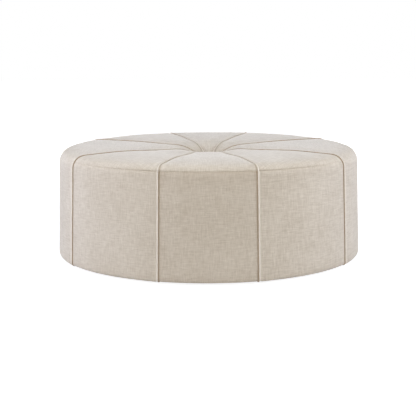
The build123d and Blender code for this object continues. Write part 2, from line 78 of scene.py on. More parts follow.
SEAMS = [-90 + INNER_SEAM, -90 + OUTER_SEAM, 90 - OUTER_SEAM, 90 - INNER_SEAM,
         90 + INNER_SEAM, 90 + OUTER_SEAM, 270 - OUTER_SEAM, 270 - INNER_SEAM]
PANELS = ["front_right", "right", "back_right", "back", "back_left", "left", "front_left", "front"]
SEAM_NAMES = ["front_inner_right", "front_outer_right", "back_outer_right", "back_inner_right",
              "back_inner_left", "back_outer_left", "front_outer_left", "front_inner_left"]
SPANS = {name: (SEAMS[i], SEAMS[i + 1] if i < 7 else SEAMS[0] + 360) for i, name in enumerate(PANELS)}


# The upholstered outline, as in the part's source
def oval_reach(c, s, shift, inset):
    """Distance from the centre to an inner oval, in an upright plane moved sideways by shift."""
    a, b = LENGTH / 2 - inset, DEPTH / 2 - inset
    square = (c / a) ** 2 + (s / b) ** 2
    cross = shift * c * s * (1 / b**2 - 1 / a**2)
    rest = (shift * s / a) ** 2 + (shift * c / b) ** 2 - 1
    return (np.sqrt(cross**2 - square * rest) - cross) / square


def outline(angles, shift=0.0, inset=0.0):
    """The outline's arcs and lines in one upright plane for each angle."""
    angle = np.radians(np.atleast_1d(np.asarray(angles, float)))
    shift, inset = np.broadcast_to(shift, angle.shape), np.broadcast_to(inset, angle.shape)
    o = SimpleNamespace(c=np.cos(angle), s=np.sin(angle), shift=shift, inset=inset)
    o.bend_r, o.roll_r = BEND_RADIUS - inset, EDGE_RADIUS - inset
    o.bend_x = oval_reach(o.c, o.s, shift, inset) - o.bend_r
    o.roll_x = oval_reach(o.c, o.s, shift, inset + WALL_LEAN) - o.roll_r
    o.bend_z = HEM_BOTTOM + BEND_RADIUS
    run, climb = o.roll_x - o.bend_x, ROLL_HEIGHT - o.bend_z
    o.wall = np.arctan2(climb, run) - np.arccos((o.bend_r - o.roll_r) / np.hypot(run, climb))
    o.peak = np.sqrt(TUFT_REACH**2 - shift**2)
    reach = o.roll_x - o.peak
    o.crown_r = (reach**2 + (o.roll_r + CROWN_RISE) ** 2 - o.roll_r**2) / (2 * CROWN_RISE)
    o.crown_z = SKIN_TOP - inset - o.crown_r
    o.crown = np.arctan2(ROLL_HEIGHT - o.crown_z, reach)
    fuller = FULLER_SIDES * smooth(np.abs(o.s), 0.45, 0.8) - ROUNDER_ENDS * smooth(np.abs(o.s), 0.6, 0.3)
    middle, out = (o.crown + o.wall) / 2, fuller / np.cos((o.crown - o.wall) / 2)
    o.edge_r = o.roll_r - fuller
    o.edge_x, o.edge_z = o.roll_x + out * np.cos(middle), ROLL_HEIGHT + out * np.sin(middle)
    o.crown = np.arctan2(o.edge_z - o.crown_z, o.edge_x - o.peak)
    o.shoulder_r = SHOULDER_RADIUS - inset
    o.hem = oval_reach(o.c, o.s, shift, HEM_WIDTH)
    o.hole = np.sqrt(HOLE_RADIUS**2 - shift**2)
    return o


# Stations along the outline: a whole number is where one line or arc meets the next
HEM_EDGE, BEND, WALL, ROLL, SEAM, CROWN, SHOULDER, THROAT, HOLE = range(9)


def place(o, x, z):
    """Points in space for reaches and heights in each plane of the outline."""
    return np.stack([x * o.c - o.shift * o.s, x * o.s + o.shift * o.c, z + 0 * x], axis=-1)


def along(o, stations, seam_gap=0.0):
    """Points of the outline at stations, as a grid with one row for each station."""
    t = np.asarray(stations, float)
    seam = np.arcsin((SEAM_HEIGHT + seam_gap - o.edge_z) / o.edge_r)
    quarter = math.pi / 2

    def arc(x, z, r, start, end):
        def at(f):
            turn = start + (end - start) * f
            return x + r * np.cos(turn), z + r * np.sin(turn)

        return at

    def line(x0, z0, x1, z1):
        return lambda f: (x0 + (x1 - x0) * f, z0 + (z1 - z0) * f)

    throat_x = o.peak - o.shoulder_r * math.sin(SLOPE)
    throat_z = SKIN_TOP - SHOULDER_RADIUS + o.shoulder_r * math.cos(SLOPE)
    forms = [
        line(o.hem, o.bend_z - o.bend_r, o.bend_x, o.bend_z - o.bend_r),
        arc(o.bend_x, o.bend_z, o.bend_r, -quarter, o.wall),
        line(o.bend_x + o.bend_r * np.cos(o.wall), o.bend_z + o.bend_r * np.sin(o.wall),
             o.edge_x + o.edge_r * np.cos(o.wall), o.edge_z + o.edge_r * np.sin(o.wall)),
        arc(o.edge_x, o.edge_z, o.edge_r, o.wall, seam),
        arc(o.edge_x, o.edge_z, o.edge_r, seam, o.crown),
        arc(o.peak, o.crown_z, o.crown_r, o.crown, quarter),
        arc(o.peak, SKIN_TOP - SHOULDER_RADIUS, o.shoulder_r, quarter, quarter + SLOPE),
        line(throat_x, throat_z, o.hole, throat_z - (throat_x - o.hole) * math.tan(SLOPE)),
    ]
    grid = np.zeros((len(t), len(o.c), 3))
    which = np.clip(np.floor(t).astype(int), 0, len(forms) - 1)
    for k, form in enumerate(forms):
        rows = which == k
        if rows.any():
            x, z = form((t[rows] - k)[:, None])
            grid[rows] = place(o, x, z)
    return grid


def fan(start, end, edge_shift, shares):
    """Upright planes that fan out from seam to seam, with the outer ones moved in by edge_shift."""
    apex = edge_shift / math.sin(math.radians((end - start) / 2))
    angles = start + (end - start) * np.asarray(shares)
    return angles, apex * np.sin(np.radians((start + end) / 2 - angles))


# Helpers for grids and meshes
SHARP_ANGLE, END_CLOSENESS = 50, 0.7


def spread(count):
    """Shares from 0 to 1, closer together at both ends."""
    t = np.linspace(0, 1, count)
    return t - END_CLOSENESS * np.sin(2 * math.pi * t) / (2 * math.pi)


def stations(*runs):
    """Stations from runs of (first, last, count), and where uneven also (closeness at first, at last)."""
    out = [np.array([float(runs[0][0])])]
    for first, last, count, *closeness in runs:
        low, high = closeness or (0, 0)
        t = np.linspace(0, 1, count + 1)[1:]
        w = t + low * (t**2 - t) * (1 - t) + high * (t - t**2) * t
        out.append(first + (last - first) * w)
    return np.concatenate(out)


def normals(grid):
    across, up = np.gradient(grid, axis=1), np.gradient(grid, axis=0)
    n = np.cross(across, up)
    return n / np.maximum(np.linalg.norm(n, axis=-1, keepdims=True), 1e-9)


def lengths(grid, axis):
    """Distance run along the grid from its first row or column."""
    step = np.linalg.norm(np.diff(grid, axis=axis), axis=-1)
    start = 0 * np.take(step, [0], axis=axis)
    return np.concatenate([start, np.cumsum(step, axis=axis)], axis=axis)


def smooth(x, low, high):
    t = np.clip((x - low) / (high - low), 0, 1)
    return t * t * (3 - 2 * t)


def rumple(grid, size, seed):
    """Smooth noise from -1 to 1 on the points of a grid, with lumps of about size millimetres."""
    flat = (grid / size + np.array([seed * 7.3, seed * 3.1, seed * 5.7])).reshape(-1, 3)
    return np.array([noise.noise(p) for p in flat.tolist()]).reshape(grid.shape[:-1])


def new_mesh(name, verts, faces):
    mesh = bpy.data.meshes.new(name)
    mesh.from_pydata((np.asarray(verts) * MM).tolist(), [], faces)
    return mesh


def put_in_scene(name, data):
    obj = bpy.data.objects.new(name, data)
    bpy.context.scene.collection.objects.link(obj)
    return obj


def make_piece(name, node, verts, faces):
    """A smooth mesh that takes the place, the material and the slot of a CAD node."""
    mesh = new_mesh(name, verts, faces)
    mesh.materials.append(MATERIALS[slot_of[node]])
    mesh.validate()
    mesh.shade_smooth()
    mesh.set_sharp_from_angle(angle=math.radians(SHARP_ANGLE))
    obj = put_in_scene(name, mesh)
    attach(obj, "root")
    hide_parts(node)
    return obj


def put_attribute(obj, name, values, kind="FLOAT"):
    field = "vector" if kind == "FLOAT_VECTOR" else "value"
    data = obj.data.attributes.new(name, kind, "POINT").data
    data.foreach_set(field, np.asarray(values, np.float32).ravel())


def quads(rows, cols, first=0, wrap_rows=False, wrap_cols=False):
    """Quads of a grid of points, facing the side of across x up."""
    i = np.arange(rows if wrap_rows else rows - 1)
    j = np.arange(cols if wrap_cols else cols - 1)
    i, j = np.meshgrid(i, j, indexing="ij")
    i2, j2 = (i + 1) % rows, (j + 1) % cols
    q = np.stack([i * cols + j, i * cols + j2, i2 * cols + j2, i2 * cols + j], axis=-1)
    return (q.reshape(-1, 4) + first).tolist()


def rim(rows, cols):
    """Numbers of a grid's border points, once round."""
    ids = np.arange(rows * cols).reshape(rows, cols)
    return np.concatenate([ids[0], ids[1:, -1], ids[-1, -2::-1], ids[-2:0:-1, 0]]).tolist()


def cloth_piece(name, node, outer, thickness, weave, painted_shading):
    """A sheet with a real thickness: the outer grid, an inner one and the rim between them."""
    rows, cols = outer.shape[:2]
    inner = outer - thickness * normals(outer)
    n = rows * cols
    faces = quads(rows, cols) + [f[::-1] for f in quads(rows, cols, n)]
    border = rim(rows, cols)
    for a, b in zip(border, border[1:] + border[:1]):
        faces.append([b, a, a + n, b + n])
    obj = make_piece(name, node, np.concatenate([outer.reshape(-1, 3), inner.reshape(-1, 3)]), faces)
    put_attribute(obj, "weave", np.tile(weave.reshape(-1, 3) * MM, (2, 1)), "FLOAT_VECTOR")
    # The shading attribute carries painted shade above 0 and a painted highlight below 0
    put_attribute(obj, "painted_shading", np.tile(painted_shading.ravel(), 2))
    return obj


def swept_piece(name, node, loops, closed, weave=None, painted_shading=None):
    """A solid swept through loops of points: loops[i] is the i-th section, around its edge."""
    sections, around = loops.shape[:2]
    faces = quads(sections, around, wrap_rows=closed, wrap_cols=True)
    if not closed:
        faces.append(list(range(around)))
        faces.append([(sections - 1) * around + j for j in range(around)][::-1])
    verts = loops.reshape(-1, 3)
    obj = make_piece(name, node, verts, faces)
    # faces point outward when the mesh holds a positive volume
    t = np.array([[f[0], f[k], f[k + 1]] for f in faces for k in range(1, len(f) - 1)])
    a, b, c = verts[t[:, 0]], verts[t[:, 1]], verts[t[:, 2]]
    if (a * np.cross(b, c)).sum() < 0:
        obj.data.flip_normals()
    if weave is not None:
        put_attribute(obj, "weave", weave.reshape(-1, 3) * MM, "FLOAT_VECTOR")
        put_attribute(obj, "painted_shading", painted_shading.ravel())
    return obj


# Materials, with the pitch of threads and plies in metres
def add_node(tree, kind, inputs=None, **settings):
    node = tree.nodes.new("ShaderNode" + kind)
    for key, value in settings.items():
        setattr(node, key, value)
    for key, value in (inputs or {}).items():
        if isinstance(value, bpy.types.NodeSocket):
            tree.links.new(value, node.inputs[key])
        else:
            node.inputs[key].default_value = value
    return node


def opaque(color):
    return color if isinstance(color, bpy.types.NodeSocket) else (*color, 1.0)


class Surface:
    """A material whose colour, roughness and bump come from a few noises."""

    def __init__(self, name, constants):
        self.material = bpy.data.materials.new(name)
        self.material.use_nodes = True
        self.tree = self.material.node_tree
        self.shader = self.tree.nodes["Principled BSDF"]
        for key, value in constants.items():
            self.shader.inputs[key].default_value = value
        self.object_point = add_node(self.tree, "TexCoord").outputs["Object"]

    def attribute(self, name, output="Fac"):
        return add_node(self.tree, "Attribute", attribute_name=name).outputs[output]

    def math(self, operation, a, b=0.0, c=0.0, clamp=False):
        return add_node(self.tree, "Math", {0: a, 1: b, 2: c}, operation=operation,
                        use_clamp=clamp).outputs[0]

    def scaled(self, point, scale, offset=(0, 0, 0)):
        return add_node(self.tree, "VectorMath", {0: point, 1: scale, 2: offset},
                        operation="MULTIPLY_ADD").outputs[0]

    def noise(self, point, scale, offset=(0, 0, 0), detail=2.0, roughness=0.5, distortion=0.0):
        return add_node(self.tree, "TexNoise",
                        {"Vector": self.scaled(point, scale, offset), "Scale": 1.0, "Detail": detail,
                         "Roughness": roughness, "Distortion": distortion}).outputs["Fac"]

    def cells(self, point, scale):
        return add_node(self.tree, "TexVoronoi",
                        {"Vector": self.scaled(point, scale), "Scale": 1.0}, feature="F1").outputs["Distance"]

    def total(self, *terms):
        """0.5 plus the sum of weight times (value - 0.5)."""
        out = 0.5
        for weight, value in terms:
            out = self.math("MULTIPLY_ADD", value, weight, self.math("SUBTRACT", out, 0.5 * weight))
        return out

    def ramp(self, value, low, high, to_low=0.0, to_high=1.0):
        return add_node(self.tree, "MapRange",
                        {"Value": value, "From Min": low, "From Max": high, "To Min": to_low,
                         "To Max": to_high}).outputs[0]

    def mix(self, share, a, b):
        return add_node(self.tree, "Mix", {0: share, 6: opaque(a), 7: opaque(b)}, data_type="RGBA").outputs[2]

    def finish(self, color, roughness, height, strength, distance):
        bump = add_node(self.tree, "Bump", {"Height": height, "Strength": strength, "Distance": distance})
        for key, value in (("Base Color", color), ("Roughness", roughness), ("Normal", bump.outputs[0])):
            self.tree.links.new(value, self.shader.inputs[key])
        return self.material


LINEN_LIGHT, LINEN_DARK = (0.66, 0.595, 0.50), (0.50, 0.43, 0.34)
# LINEN_FLECK is the threads' own dark flecks; the other two colours are mixed in for painted shade in grooves
# and creases and for a painted highlight beside the welts
LINEN_FLECK, LINEN_PAINTED_SHADE, LINEN_PAINTED_HIGHLIGHT = (0.30, 0.24, 0.175), (0.36, 0.265, 0.17), (0.90, 0.84, 0.75)
TWINE_LIGHT, TWINE_DARK = (0.70, 0.62, 0.50), (0.42, 0.34, 0.24)
THREAD_PITCH, PLY_PITCH = 0.0022, 0.0018


def linen():
    """Oatmeal linen: plain weave of slubby threads, with darker flecks, painted shade in the grooves and
    creases and a painted highlight beside the welts.
    """
    s = Surface("linen_weave", {"Sheen Weight": 0.35, "Sheen Roughness": 0.45, "Specular IOR Level": 0.25})
    point = s.attribute("weave", "Vector")
    weft = s.noise(point, (36, 620, 1), detail=3)
    warp = s.noise(point, (620, 36, 1), (3, 5, 2), detail=3)
    wide_weft = s.noise(point, (26, 210, 1), (7, 1, 4))
    wide_warp = s.noise(point, (210, 26, 1), (2, 9, 6))
    cloud = s.noise(s.object_point, (9, 9, 9), detail=3)
    tone = s.total((0.8, weft), (0.8, warp), (0.75, wide_weft), (0.75, wide_warp), (0.35, cloud))
    color = s.mix(s.ramp(tone, 0.15, 0.85), LINEN_DARK, LINEN_LIGHT)
    fleck_h = s.ramp(s.noise(point, (80, 520, 1), (11, 3, 8), detail=1), 0.70, 0.78)
    fleck_v = s.ramp(s.noise(point, (520, 80, 1), (1, 13, 9), detail=1), 0.70, 0.78)
    fleck = s.math("MULTIPLY", s.math("MAXIMUM", fleck_h, fleck_v), 0.6)
    color = s.mix(fleck, color, LINEN_FLECK)
    # The cover's shading attribute: above 0 it mixes in painted shade, below 0 a painted highlight
    painted_shading = s.attribute("painted_shading")
    painted_shade = s.math("MULTIPLY", painted_shading, s.ramp(s.noise(s.object_point, (60, 60, 60)), 0.2, 0.8, 0.75, 1.0))
    color = s.mix(s.math("MULTIPLY", painted_shading, -0.6, clamp=True), color, LINEN_PAINTED_HIGHLIGHT)
    color = s.mix(s.math("MAXIMUM", painted_shade, 0.0), color, LINEN_PAINTED_SHADE)
    parts = add_node(s.tree, "SeparateXYZ", {0: point}).outputs
    sines = [s.math("SINE", s.math("MULTIPLY", parts[i], 2 * math.pi / THREAD_PITCH)) for i in (0, 1)]
    weave = s.math("MULTIPLY", sines[0], sines[1])
    height = s.math("MULTIPLY_ADD", weave, 0.25, tone)
    return s.finish(color, s.ramp(tone, 0.2, 0.8, 0.95, 0.8), height, 0.35, 0.0004)


def plain_soft(name, dark, light, scale, cell_scale=None):
    """Wadding, foam and dust fabric: matt and cloudy, with fibres or cells in the bump."""
    s = Surface(name, {"Sheen Weight": 0.2, "Specular IOR Level": 0.2})
    big = s.noise(s.object_point, (14, 14, 14), detail=3)
    fine = s.noise(s.object_point, scale, detail=4, roughness=0.65, distortion=0.6)
    tone = s.total((0.7, big), (0.9, fine))
    height = tone if cell_scale is None else s.math("ADD", tone, s.cells(s.object_point, cell_scale))
    return s.finish(s.mix(s.ramp(tone, 0.2, 0.8), dark, light), s.ramp(fine, 0.3, 0.7, 0.85, 0.98), height,
                    0.5, 0.0006)


def wood(name, dark, light, scale, layers=0.0):
    """Sawn wood with its grain along the long axis of scale, and plies where layers is their pitch."""
    s = Surface(name, {"Specular IOR Level": 0.35})
    wide = s.noise(s.object_point, scale, detail=3, distortion=1.5)
    fine = s.noise(s.object_point, tuple(6 * x for x in scale), detail=3)
    rings = s.math("FRACT", s.math("MULTIPLY", wide, 9.0))
    tone = s.total((0.5, wide), (0.35, rings), (0.6, fine))
    if layers:
        z = add_node(s.tree, "SeparateXYZ", {0: s.object_point}).outputs[2]
        ply = s.math("PINGPONG", s.math("DIVIDE", z, layers), 1.0)
        tone = s.total((0.8, tone), (0.45, ply))
    return s.finish(s.mix(s.ramp(tone, 0.15, 0.85), dark, light), s.ramp(tone, 0.2, 0.8, 0.75, 0.5), tone,
                    0.4, 0.0004)


def hard(name, dark, light, scale, rough, constants):
    """Metal, plastic or hardboard with fine marks."""
    s = Surface(name, constants)
    fine = s.noise(s.object_point, scale, detail=4)
    worn = s.noise(s.object_point, (40, 40, 40), detail=3)
    tone = s.total((0.7, fine), (0.6, worn))
    return s.finish(s.mix(s.ramp(tone, 0.2, 0.8), dark, light), s.ramp(tone, 0.2, 0.8, *rough), fine,
                    0.4, 0.0001)


def twine_fibre():
    """Waxed fibres that run mostly along the upright twine."""
    s = Surface("twine_fibre", {"Sheen Weight": 0.3, "Specular IOR Level": 0.3})
    fine = s.noise(s.object_point, (900, 900, 300), detail=3)
    return s.finish(s.mix(fine, TWINE_DARK, TWINE_LIGHT), s.ramp(fine, 0.2, 0.8, 0.9, 0.65), fine,
                    0.5, 0.0002)


MATERIALS = {
    "linen": linen(),
    "wadding": plain_soft("polyester_wadding", (0.74, 0.74, 0.73), (0.88, 0.88, 0.87), (260, 260, 90)),
    "foam": plain_soft("seat_foam", (0.78, 0.70, 0.48), (0.90, 0.84, 0.64), (300, 300, 300), (700, 700, 700)),
    "dust_fabric": plain_soft("nonwoven_black", (0.012, 0.012, 0.013), (0.035, 0.035, 0.037),
                              (420, 420, 420)),
    "plywood": wood("bare_plywood", (0.42, 0.28, 0.15), (0.70, 0.53, 0.34), (5, 60, 60), PLY_PITCH),
    "pine": wood("sawn_pine", (0.50, 0.32, 0.16), (0.76, 0.57, 0.35), (70, 70, 6)),
    "fibreboard": hard("bare_hardboard", (0.22, 0.13, 0.07), (0.36, 0.23, 0.14), (500, 500, 500), (0.85, 0.6),
                       {"Specular IOR Level": 0.3}),
    "twine": twine_fibre(),
    "steel": hard("zinc_steel", (0.42, 0.42, 0.43), (0.66, 0.66, 0.67), (900, 900, 120), (0.5, 0.28),
                  {"Metallic": 1.0}),
    "glide_plastic": hard("black_nylon", (0.022, 0.022, 0.022), (0.05, 0.05, 0.05), (700, 700, 700),
                          (0.6, 0.42), {"Specular IOR Level": 0.45}),
}

slot_of = {part["node"]: part["material_slot"] for part in frame["record"]["subparts"]}
for node_name, node_object in frame["nodes"].items():
    node_object.data.materials.clear()
    node_object.data.materials.append(MATERIALS[slot_of[node_name]])


# The cover's small forms: dips, puckers and folds, in millimetres, and the painted shading that colours them:
# painted shade in grooves, hollows and low places, and a painted highlight beside the welts
def bell(distance, width):
    """1 at distance 0, falling off softly over width."""
    return np.exp(-((distance / width) ** 2))


def decay(distance, width):
    """1 at distance 0, falling off steeply at first over width."""
    return np.exp(-distance / width)


def puckers(distance, along_seam, height, width, stitch, phase):
    """Small puckers beside a row of stitches."""
    return height * decay(distance, width) * np.sin(2 * math.pi * (along_seam / stitch + phase))


def to_edges(run):
    """Distance to the nearer of a panel's two welts."""
    return np.minimum(run, run[:, -1:] - run)


def lumps(grid, seed, layers):
    """Soft lumps of the padding, from layers of (height, size)."""
    return sum(height * rumple(grid, size, seed + k) for k, (height, size) in enumerate(layers))


def across_to_seam(grid):
    """Distance across to the nearest radial seam."""
    nearest = np.full(grid.shape[:-1], np.inf)
    for seam in SEAMS:
        c, s = math.cos(math.radians(seam)), math.sin(math.radians(seam))
        ahead = grid[..., 0] * c + grid[..., 1] * s > 0
        nearest = np.minimum(nearest, np.where(ahead, np.abs(grid[..., 1] * c - grid[..., 0] * s), nearest))
    return nearest


# How much painted shade each welt's groove gets, on the walls and on the top
WALL_GROOVE_SHADE, TOP_GROOVE_SHADE = [0.87, 1.1, 1, 1, 1, 1, 1, 0.95], [0.3, 1.5, 1.25, 0.4, 0.4, 1.25, 1.5, 0.3]
WALL_PUFF, TOP_PUFF, PUFF_WIDTH, PUFF_EDGE = 2.8, 0.6, 62.0, 4.5
WELT_DIP, FOLD_DIP, DIP_WIDTH = 0.3, 1.1, 2.4
HOLLOW_DIP, HOLLOW_WIDTH = 0.15, 13.0
# Painted shade in the groove under a folded welt, and a painted highlight beside a welt's other side
GROOVE_SHADE, GROOVE_WIDTH, HAZE_SHADE, HAZE_WIDTH = 0.75, 2.6, 0.27, 7.0
RIM_HIGHLIGHT, RIM_HIGHLIGHT_WIDTH = 0.95, 5.5
WELT_PUCKERS, SEAM_PUCKERS = (0.22, 6.0, 9.5), (0.2, 5.0, 8.5)  # height, width and stitch


def beside_welts(run, along_welt, name, seed, painted_shade, puff):
    """The dip and puckers beside both welts of a panel, and the painted shading: above 0 painted shade, below
    0 a painted highlight.
    A welt is folded over towards the front middle: the panel under it lies in a deeper groove with painted
    shade, and the panel that it is folded away from is puffed up beside it, with a painted highlight."""
    first = PANELS.index(name)
    last = (first + 1) % len(SEAMS)
    dip = puckers(to_edges(run), along_welt, *WELT_PUCKERS, seed / 3)
    painted_shading = 0.0
    for distance, seam, under in ((run, first, first >= 4), (run[:, -1:] - run, last, last < 4)):
        dip -= WELT_DIP * decay(distance, DIP_WIDTH)
        if under:
            dip -= FOLD_DIP * decay(distance, DIP_WIDTH) + HOLLOW_DIP * bell(distance, HOLLOW_WIDTH)
            groove = GROOVE_SHADE * bell(distance, GROOVE_WIDTH) + HAZE_SHADE * decay(distance, HAZE_WIDTH)
            painted_shading += painted_shade[seam] * groove
        else:
            dip += puff * bell(distance, PUFF_WIDTH) * (1 - bell(distance, PUFF_EDGE))
            painted_shading -= RIM_HIGHLIGHT * bell(distance, RIM_HIGHLIGHT_WIDTH)
    return dip, painted_shading


SEAM_DIP, SEAM_DIP_WIDTH, SEAM_HOLLOW, SEAM_HOLLOW_WIDTH = 1.1, 2.0, 0.2, 8.0
# Painted shade along the plain seam
SEAM_SHADE, SEAM_SHADE_WIDTH, LEAST_SHOWN = 0.45, 1.3, 0.15


def beside_seam(distance, run, grid, seed):
    """The shallower dip along the plain seam under the top edge, and the painted shade in it.
    Both nearly vanish at the ends, where the cover is drawn tight over the rounder edge."""
    frontward = np.abs(grid[..., 1]) / np.hypot(grid[..., 0], grid[..., 1])
    shown = LEAST_SHOWN + (1 - LEAST_SHOWN) * smooth(frontward, 0.3, 0.65)
    dip = puckers(distance, run, *SEAM_PUCKERS, seed / 5)
    dip -= SEAM_DIP * decay(distance, SEAM_DIP_WIDTH) + SEAM_HOLLOW * bell(distance, SEAM_HOLLOW_WIDTH)
    return shown * dip, shown * SEAM_SHADE * decay(distance, SEAM_SHADE_WIDTH)


FRONT_RISE, FRONT_STATION, FRONT_SPREAD = 3.2, CROWN + 0.4, 0.28
SEAM_DRAW, DRAW_SPREAD, DRAW_WIDTH = 4.0, 0.3, 35.0


def settled(rows, grid):
    """How much higher the top stands than in the source: fuller in front, drawn down along the seams."""
    at = np.reshape(rows, (-1, 1))
    front = smooth(-grid[..., 1] / np.hypot(grid[..., 0], grid[..., 1]), -0.2, 0.3)
    drawn = bell(at - SHOULDER, DRAW_SPREAD) * bell(across_to_seam(grid), DRAW_WIDTH)
    return FRONT_RISE * front * bell(at - FRONT_STATION, FRONT_SPREAD) - SEAM_DRAW * drawn


PLEATS, PLEAT_HEIGHT, PLEAT_SHARPNESS, PLEAT_LEVEL = 6, 3.4, 0.8, 0.35
PLEAT_REACH, BUTTON_REACH = (150, 48), (22, 40)


def gathers(grid, seed):
    """Pleats that radiate from the tuft, highest near the button."""
    reach = np.hypot(grid[..., 0], grid[..., 1])
    height = PLEAT_HEIGHT * smooth(reach, *PLEAT_REACH) * smooth(reach, *BUTTON_REACH)
    wobble = 0.9 * rumple(grid, 55.0, seed) + 0.35 * rumple(grid, 17.0, seed + 2)
    wave = np.abs(np.sin(math.pi * (PLEATS * COLUMNS[None, :] + wobble)))
    uneven = 0.65 + 0.7 * rumple(grid, 38.0, seed + 5)
    return height * uneven * (wave**PLEAT_SHARPNESS - PLEAT_LEVEL)


# Stations of the cover's rows, and the shares of its columns between two seams
TOP_ROWS = stations((SEAM, CROWN, 16, 0.8, 0), (CROWN, SHOULDER, 36), (SHOULDER, THROAT, 30),
                    (THROAT, HOLE, 6))
SIDE_ROWS = stations((HEM_EDGE, BEND, 6, 0, 0.5), (BEND, WALL, 8), (WALL, ROLL, 40, 0, 0.5),
                     (ROLL, SEAM, 10, 0, 0.8))
WELT_ROWS = stations((HEM_EDGE, BEND, 6, 0, 0.5), (BEND, WALL, 10), (WALL, ROLL, 60), (ROLL, CROWN, 22),
                     (CROWN, SHOULDER, 66), (SHOULDER, THROAT, 40), (THROAT, HOLE, 6))
COLUMNS = spread(73)
EDGE_SHIFT = WELT_WIDTH / 2 + SEWING_GAP

# Coarse grids for the simulation: rows evenly spaced along the outline
SIM_COLUMNS, SIM_STEP, SIM_FRAMES, SIM_CAP = 23, 15.0, 20, 5.0
TOP_PRESSURE_SHARE, QUICK_BOW, TABLE_STEPS = 0.8, 3.2, 1200
SLACK_CLOTH = {
    "quality": 8, "mass": 0.3, "tension_stiffness": 40, "compression_stiffness": 40, "shear_stiffness": 12,
    "bending_stiffness": 1.5, "tension_damping": 20, "compression_damping": 20, "air_damping": 4,
    "vertex_group_mass": "held", "pin_stiffness": 50, "shrink_min": -0.0015, "use_pressure": True,
    "vertex_group_pressure": "pressed", "uniform_pressure_force": 1.7,
}


def panel_grid(name, rows, columns, seam_gap):
    start, end = SPANS[name]
    return along(outline(*fan(start, end, EDGE_SHIFT, columns)), rows, seam_gap)


def even_rows(name, first, last, step, seam_gap):
    """Stations evenly spaced along the middle column, and a fine table of station against distance."""
    fine = np.linspace(first, last, TABLE_STEPS)
    run = lengths(panel_grid(name, fine, [0.5], seam_gap), 0)[:, 0]
    count = int(round(run[-1] / step)) + 1
    return np.interp(np.linspace(0, run[-1], count), run, fine), fine, run


def cubic_weights(position, count):
    """Rows of weights that read a coarse line of values smoothly at fractional positions."""
    position = np.clip(position, 0, count - 1)
    base = np.minimum(np.floor(position).astype(int), count - 2)
    f = position - base
    kernel = [(-f + 2 * f**2 - f**3) / 2, (2 - 5 * f**2 + 3 * f**3) / 2,
              (f + 4 * f**2 - 3 * f**3) / 2, (-(f**2) + f**3) / 2]
    weights = np.zeros((len(position), count))
    for k, value in enumerate(kernel):
        np.add.at(weights, (np.arange(len(position)), np.clip(base + k - 1, 0, count - 1)), value)
    return weights


def slack_cloth(verts, faces, held, on_top):
    """Where a cloth's points settle when some of them are held and it is pressed out from inside."""
    mesh = new_mesh("slack_cloth", verts, faces)
    obj = put_in_scene("slack_cloth", mesh)
    obj.vertex_groups.new(name="held").add(held, 1.0, "REPLACE")
    pressed = obj.vertex_groups.new(name="pressed")
    pressed.add(range(len(verts)), 1.0, "REPLACE")
    pressed.add(on_top, TOP_PRESSURE_SHARE, "REPLACE")
    modifier = obj.modifiers.new("Cloth", "CLOTH")
    for key, value in SLACK_CLOTH.items():
        setattr(modifier.settings, key, value)
    modifier.settings.effector_weights.gravity = 0
    modifier.collision_settings.use_collision = False
    modifier.collision_settings.use_self_collision = False
    modifier.point_cache.frame_start, modifier.point_cache.frame_end = 1, SIM_FRAMES
    for step in range(1, SIM_FRAMES + 1):
        bpy.context.scene.frame_set(step)
    shape = obj.evaluated_get(bpy.context.evaluated_depsgraph_get()).data
    points = np.zeros(len(shape.vertices) * 3, np.float32)
    shape.vertices.foreach_get("co", points)
    bpy.context.scene.frame_set(1)
    bpy.data.objects.remove(obj)
    bpy.data.meshes.remove(mesh)
    return points.reshape(-1, 3).astype(float)


def blow_up():
    """Simulates every panel as slack cloth held along its seams and pressed out by the padding.
    Returns how far each coarse point moved outward, in millimetres, and each panel's table of stations."""
    grids, tables, moved = {}, {}, {}
    for name in PANELS:
        for part, first, last, gap in (("top", SEAM, THROAT, SEWING_GAP / 2),
                                       ("side", BEND + 0.5, SEAM, -SEWING_GAP / 2)):
            rows, fine, run = even_rows(name, first, last, SIM_STEP, gap)
            grids[part, name] = panel_grid(name, rows, np.linspace(0, 1, SIM_COLUMNS), gap)
            tables[part, name] = (fine, run, len(rows))
    verts, faces, held, on_top, first_of = [], [], [], [], {}
    for key, grid in grids.items():
        rows, cols = grid.shape[:2]
        first = first_of[key] = len(verts)
        if key[0] == "top":
            on_top += range(first, first + rows * cols)
        verts += grid.reshape(-1, 3).tolist()
        faces += quads(rows, cols, first)
        held += [first + k for k in rim(rows, cols)]
    points = slack_cloth(verts, faces, held, on_top) / MM
    for key, grid in grids.items():
        first = first_of[key]
        new = points[first:first + grid.shape[0] * grid.shape[1]].reshape(grid.shape)
        out = ((new - grid) * normals(grid)).sum(-1)
        moved[key] = SIM_CAP * np.tanh(np.clip(out, -1.0, None) / SIM_CAP)
    return moved, tables


swell, swell_tables = blow_up()


def swelling(part, name, rows):
    """The simulated swelling, read on the fine grid."""
    fine, run, count = swell_tables[part, name]
    position = np.interp(rows, fine, run) / run[-1] * (count - 1)
    inside = (rows >= fine[0]) & (rows <= fine[-1])
    across = cubic_weights(COLUMNS * (SIM_COLUMNS - 1), SIM_COLUMNS)
    return (cubic_weights(position, count) @ swell[part, name] @ across.T) * inside[:, None]


# How far the padding's lumps keep from a welt and from the plain seam, and their heights and sizes
WELT_HOLD, SEAM_HOLD = 25, 20
TOP_LUMPS, WALL_LUMPS = ((0.55, 95.0), (0.22, 33.0)), ((0.6, 110.0), (0.2, 36.0))
CLOTH_APART = 131.0  # each panel is cut from its own stretch of the cloth
PULLS, PULL_SIZE = 0.35, 26.0
# Reaches from the middle, and heights over the hem's bend, from where a form begins to where it is full
LUMPS_REACH, CALM_REACH, DEEP_REACH, PALE_REACH = (40, 140), (20, 60), (135, 70), (130, 170)
LUMPS_RISE, DIPS_RISE, PULLS_RISE = (2, 40), (0, 12), (130, 20)
